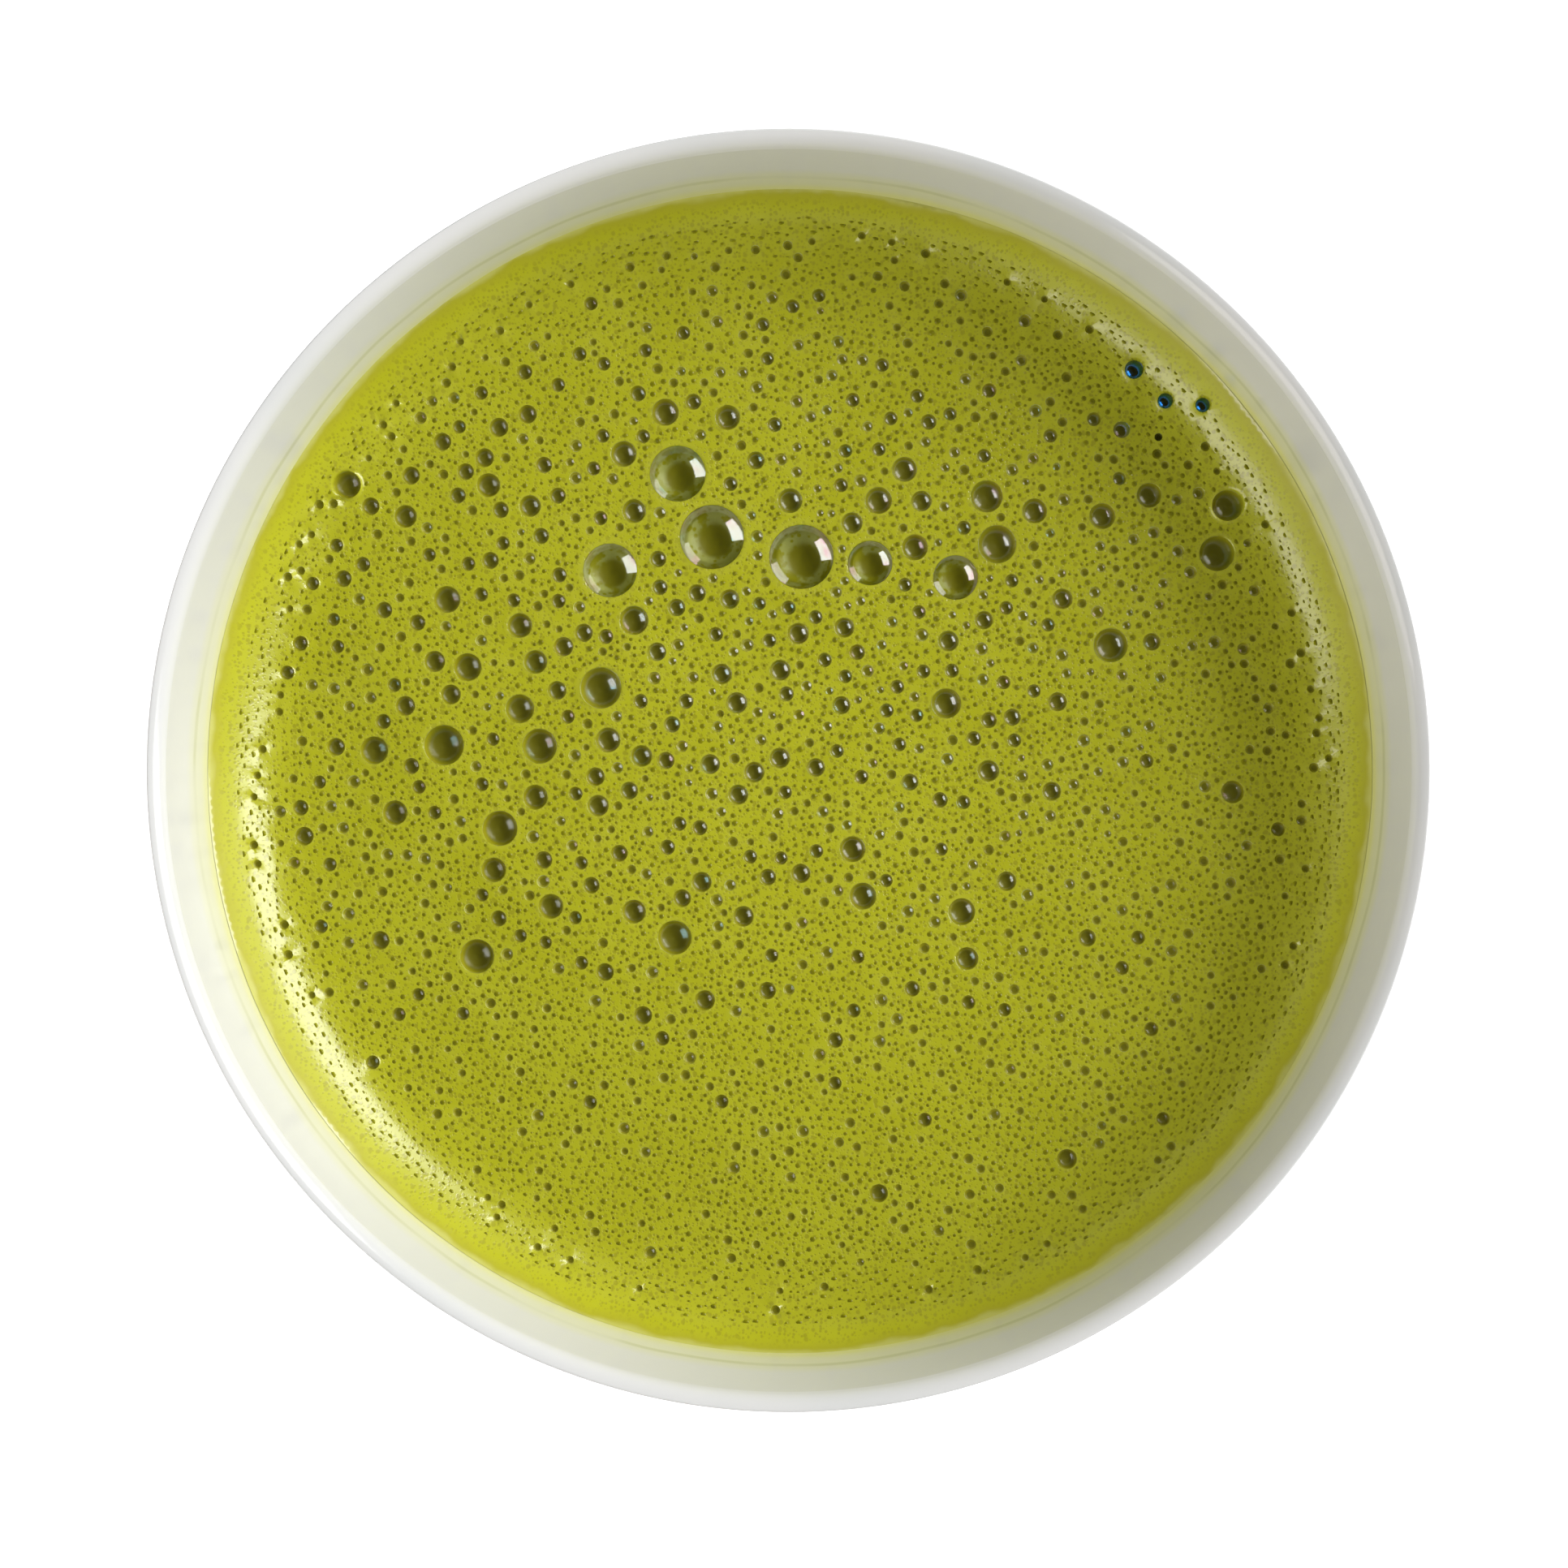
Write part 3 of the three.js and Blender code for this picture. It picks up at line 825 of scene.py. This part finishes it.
def froth_body(bubbles):
    """The froth as one closed body, with a pocket under each bubble."""
    plan, edges, owner, lift, halo = froth_plan(bubbles)
    flat, _, triangles, origin, _, _ = delaunay_2d_cdt([Vector(p) for p in plan], edges, [], 0, 1e-6)
    source = [o[0] for o in origin]
    where = {s: i for i, s in enumerate(source)}
    points = [(p.x, p.y, surface_height(p.x, p.y) + lift[s]) for p, s in zip(flat, source)]
    glow = [halo[s] for s in source]
    wet = [0.0] * len(points)
    sharp = [owner[s] for s in source]
    # The triangles within a bubble's rim are left out.
    faces = [t for t in triangles if not (sharp[t[0]] >= 0 and sharp[t[0]] == sharp[t[1]] == sharp[t[2]])]
    for bubble in bubbles:
        ring = [where[i] for i in bubble.rim]
        top = sum(points[i][2] for i in ring) / len(ring)
        for i in ring:
            points[i] = (points[i][0], points[i][1], top)
        bubble.top = top
        count = len(ring)
        for factor, depth, damp_and_shade in pocket_section(bubble):
            lower = list(range(len(points), len(points) + count))
            level = top - depth * bubble.radius
            shift = POCKET_LEAN * (1 - factor) * bubble.radius
            points += [(x, y, level) for x, y in
                       circle(bubble.x + shift, bubble.y - shift, bubble.radius * factor, count)]
            # Deeper rings are painted darker: partly wetter foam, partly painted shade.
            wet += [damp_and_shade] * count
            glow += [0.0] * count
            sharp += [-1] * count
            faces += band(ring, lower)
            ring = lower
        points.append((bubble.x, bubble.y, level - 0.03 * bubble.radius))
        wet.append(damp_and_shade)
        glow.append(0.0)
        sharp.append(-1)
        faces += fan(ring, len(points) - 1)
    # The edge is moved out to the wall and made a little uneven.
    ring = [where[i] for i in range(RIM_POINTS)]
    for k, i in enumerate(ring):
        x, y, z = points[i]
        z += 0.1 * noise.noise(Vector((x / 8, y / 8, 1.7))) - 0.1
        reach = float(wall_radius(z)) - 0.02
        angle = TAU * k / RIM_POINTS
        points[i] = (reach * math.cos(angle), reach * math.sin(angle), z)
        sharp[i] = len(bubbles)
    bottom = FROTH_BOTTOM + 0.2
    for height in (*FROTH_SIDE_HEIGHTS, bottom):
        lower = list(range(len(points), len(points) + RIM_POINTS))
        reach = float(wall_radius(height)) - 0.1
        points += [(x, y, height) for x, y in circle(0, 0, reach, RIM_POINTS)]
        faces += flipped(band(ring, lower))
        ring = lower
        wet += [0.0] * RIM_POINTS
        glow += [0.0] * RIM_POINTS
        sharp += [-1] * RIM_POINTS
    points.append((0, 0, bottom))
    wet.append(0.0)
    glow.append(0.0)
    sharp.append(-1)
    faces += flipped(fan(ring, len(points) - 1))
    return make_mesh("froth_body", points, faces, {"wet": wet, "halo": glow}, sharp)


# ---------- the bubbles' films ----------

FILM_THICKNESS = 0.035                  # as shown, far more than the real one
FILM_FIT = 0.995                        # a film's radius over its bubble's


def cap_shell(bubble, segments, rings, points, faces, sharp):
    """Adds a thin closed cap over a bubble to the lists."""
    radius = bubble.radius * FILM_FIT
    rise = bubble.rise * radius
    sphere = (radius ** 2 + rise ** 2) / (2 * rise)
    centre = bubble.top + rise - sphere + 0.01
    reach = math.asin(min(1.0, radius / sphere))
    previous = None
    for size, order in ((sphere - FILM_THICKNESS, range(rings + 1)), (sphere, range(rings, -1, -1))):
        for k in order:
            tilt = reach * k / rings
            level = centre + size * math.cos(tilt)
            start = len(points)
            if k == 0:
                points.append((bubble.x, bubble.y, level))
                sharp.append(-1)
                current = [start] * segments
            else:
                sharp.extend([start if k == rings else -1] * segments)
                points.extend((x, y, level) for x, y in
                              circle(bubble.x, bubble.y, size * math.sin(tilt), segments))
                current = list(range(start, start + segments))
            if previous:
                # The same point twice in a face, at the top, counts once.
                faces.extend(tuple(dict.fromkeys(face)) for face in band(previous, current))
            previous = current


def film_piece(name, bubbles, rings, film):
    """The films of some bubbles as one piece."""
    points, faces, sharp = [], [], []
    for bubble in bubbles:
        cap_shell(bubble, segments_of(bubble), rings, points, faces, sharp)
    piece = make_mesh(name, points, faces, sharp_ids=sharp)
    piece.data.materials.append(film)
    return piece


# A pinhole's section from below: radius over the bubble's radius, height over its film's or depth
# over its radius, and how dark it is. A point in the middle closes it.
BEAD = [(1.0, -0.25, 0.1), (0.78, 0.5, 0.7)]
BEAD_SEGMENTS = 7


def pinholes(bubbles, dark):
    """The smallest bubbles: low beads that sit in the froth's skin."""
    points, faces, wet = [], [], []
    for bubble in bubbles:
        level = surface_height(bubble.x, bubble.y) + 0.02 * bubble.radius
        previous = None
        for factor, share, damp_and_shade in BEAD:
            lift = share * (bubble.rise if share > 0 else 1)
            start = len(points)
            points += [(x, y, level + lift * bubble.radius) for x, y in
                       circle(bubble.x, bubble.y, bubble.radius * factor, BEAD_SEGMENTS, bubble.x)]
            wet += [damp_and_shade] * BEAD_SEGMENTS
            current = list(range(start, start + BEAD_SEGMENTS))
            if previous:
                faces += band(previous, current)
            else:
                faces.append(tuple(reversed(current)))
            previous = current
        faces += fan(previous, len(points))
        points.append((bubble.x, bubble.y, level + bubble.rise * bubble.radius))
        wet.append(1.0)
    piece = make_mesh("froth_pinholes", points, faces, {"wet": wet})
    piece.data.materials.append(dark)
    return piece


def make_froth(froth, dark, film, fine_film):
    """The froth, its pinholes and the films of its other bubbles, each large one a piece of its own."""
    rng = random.Random(7)
    everything = place_bubbles(rng)
    for bubble in everything:
        bubble.rise = domed(bubble, rng)
    pocketed = [b for b in everything if b.radius >= POCKET_RADIUS]
    tiny = [b for b in everything if b.radius < POCKET_RADIUS]
    body = froth_body(pocketed)
    body.data.materials.append(froth)
    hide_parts("froth")
    made = [body, pinholes(tiny, dark)]
    for node, bubble in zip(LARGE, pocketed):
        dome = film_piece(node.replace("bubble_film", "film_dome"), [bubble], 8,
                          film if bubble.radius > BROAD_RADIUS else fine_film)
        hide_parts(node)
        made.append(dome)
    rest = pocketed[len(LARGE):]
    made.append(film_piece("films_middle", [b for b in rest if b.radius >= RINGED_RADIUS], 5, fine_film))
    made.append(film_piece("films_small", [b for b in rest if b.radius < RINGED_RADIUS], 3, fine_film))
    return made


# ---------- the studio ----------

def softbox(name, azimuth, elevation, distance, size, strength, colour=(1, 1, 1)):
    """A rectangular light that faces the froth. Angles are in degrees, azimuth from +X towards +Y,
    and lengths in metres."""
    a, e = math.radians(azimuth), math.radians(elevation)
    way = Vector((math.cos(a) * math.cos(e), math.sin(a) * math.cos(e), math.sin(e)))
    data = bpy.data.lights.new(name, "AREA")
    data.shape = "RECTANGLE"
    data.size, data.size_y = size
    data.color = colour
    data.energy = strength * size[0] * size[1] * math.pi
    light = bpy.data.objects.new(name, data)
    light.location = Vector((0, 0, FROTH_LEVEL * MM)) + way * distance
    light.rotation_mode = "QUATERNION"
    light.rotation_quaternion = way.to_track_quat("Z", "Y")
    bpy.context.scene.collection.objects.link(light)


def studio_world():
    """White walls all round that grow dimmer towards the ceiling."""
    world = bpy.data.worlds.new("studio")
    world.use_nodes = True
    tree = world.node_tree
    way = tree.nodes.new("ShaderNodeTexCoord")
    split = tree.nodes.new("ShaderNodeSeparateXYZ")
    fade = tree.nodes.new("ShaderNodeMapRange")
    fade.inputs["To Min"].default_value = 0.52
    fade.inputs["To Max"].default_value = 0.21
    tree.links.new(way.outputs["Generated"], split.inputs[0])
    tree.links.new(split.outputs["Z"], fade.inputs["Value"])
    background = tree.nodes["Background"]
    background.inputs["Color"].default_value = (1, 1, 1, 1)
    tree.links.new(fade.outputs["Result"], background.inputs["Strength"])
    world.cycles_visibility.glossy = False
    return world


def make_studio():
    """A wide floor, and two softboxes from opposite sides."""
    half, top = 3000, -0.05
    corners = [(-half, -half, top), (half, -half, top), (half, half, top), (-half, half, top)]
    floor = make_mesh("floor", corners, [(0, 1, 2, 3)])
    floor.data.materials.append(floor_material())
    floor.visible_diffuse = False       # the paper's glow would wash out the bowl's outside
    softbox("key", 22, 27, 0.80, (0.66, 0.55), 6.6)
    softbox("fill", 213, 17, 0.60, (0.50, 0.34), 3.2, (1.0, 0.96, 0.91))
    bpy.context.scene.world = studio_world()
    bpy.context.scene.view_settings.view_transform = "Standard"


def make_camera():
    """Straight above, a very little to the right and the front, aimed just off the bowl's middle."""
    distance, frame_width, sensor = 600.0, 146.4, 36
    eye = Vector((7.3, -3.5, HEIGHT + distance)) * MM
    aim = Vector((-0.35, -1.3, HEIGHT)) * MM
    data = bpy.data.cameras.new("camera")
    data.sensor_width = sensor
    data.lens = sensor * distance / frame_width
    camera = bpy.data.objects.new("camera", data)
    back = (eye - aim).normalized()
    side = Vector((0, 1, 0)).cross(back).normalized()
    camera.matrix_world = Matrix((side, back.cross(side), back)).transposed().to_4x4()
    camera.location = eye
    bpy.context.scene.collection.objects.link(camera)
    bpy.context.scene.camera = camera


make_camera()
pieces = make_bowl(glaze_material(), clay_material())
pieces += make_froth(froth_material(), pinhole_material(),
                     film_material("bubble_film", 0.08, 0.06, 0.6, True),
                     film_material("fine_film", 0.16, 0.05, 0.4, False))
for piece in pieces:
    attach(piece, "root")
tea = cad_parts["tea"]
tea.data.materials.clear()
tea.data.materials.append(tea_material())
make_studio()
